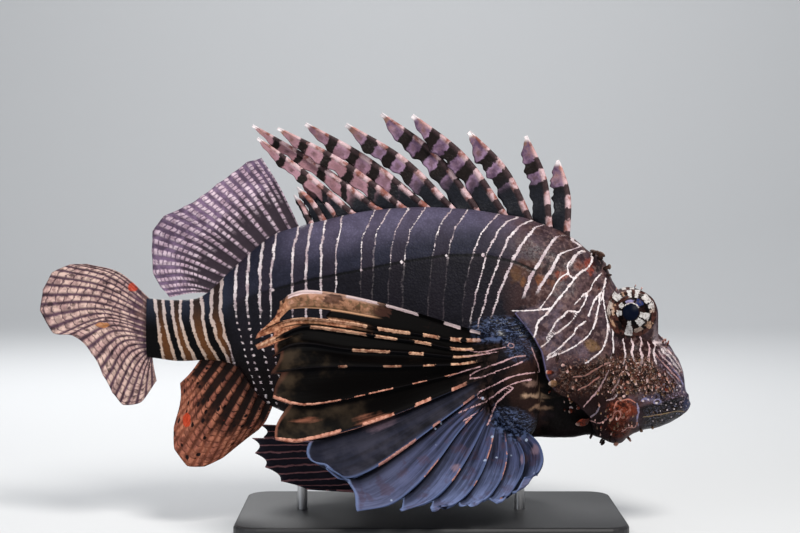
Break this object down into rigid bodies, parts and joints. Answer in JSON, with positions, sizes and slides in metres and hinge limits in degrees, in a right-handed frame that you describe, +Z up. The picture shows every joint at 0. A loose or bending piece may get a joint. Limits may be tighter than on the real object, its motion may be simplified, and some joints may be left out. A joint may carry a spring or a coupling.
{
  "type": "lionfish",
  "caption": "Life-size still model of a lionfish with fanned breast fins and banded back spines, held over a flat base by rods.",
  "frame": {"origin": "centre of the underside of the stand's base", "axes": "+X where the fish looks, -Y its right side, +Z up"},
  "size_m": [0.3274, 0.152, 0.2087],
  "materials": {
    "head": "skin, brown-black with white lines, semi-matt",
    "torso": "skin, blue-black with white lines, semi-matt",
    "tail_stalk": "skin, banded cream and black, semi-matt",
    "dorsal_fin_spiny": "fin skin over spines, banded",
    "dorsal_fin_soft": "thin fin skin over soft rays, spotted",
    "anal_fin": "thin fin skin over soft rays, spotted",
    "caudal_fin": "thin fin skin over soft rays, spotted",
    "pectoral_fin_right": "thin fin skin over rays, dark with pink patches",
    "pectoral_fin_left": "thin fin skin over rays, dark with pink patches",
    "pelvic_fin_right": "thin dark fin skin over rays",
    "pelvic_fin_left": "thin dark fin skin over rays",
    "eye_right": "wet eye, gloss",
    "eye_left": "wet eye, gloss",
    "stand_base": "dark satin base",
    "stand_rod_front": "brushed rod",
    "stand_rod_rear": "brushed rod"
  },
  "bodies": {
    "root": {"head": "head", "torso": "torso", "tail_stalk": "tail_stalk", "dorsal_fin_spiny": "dorsal_fin_spiny", "dorsal_fin_soft": "dorsal_fin_soft", "anal_fin": "anal_fin", "caudal_fin": "caudal_fin", "pectoral_fin_right": "pectoral_fin_right", "pectoral_fin_left": "pectoral_fin_left", "pelvic_fin_right": "pelvic_fin_right", "pelvic_fin_left": "pelvic_fin_left", "eye_right": "eye_right", "eye_left": "eye_left", "stand_base": "stand_base", "stand_rod_front": "stand_rod_front", "stand_rod_rear": "stand_rod_rear"}
  },
  "joints": []
}
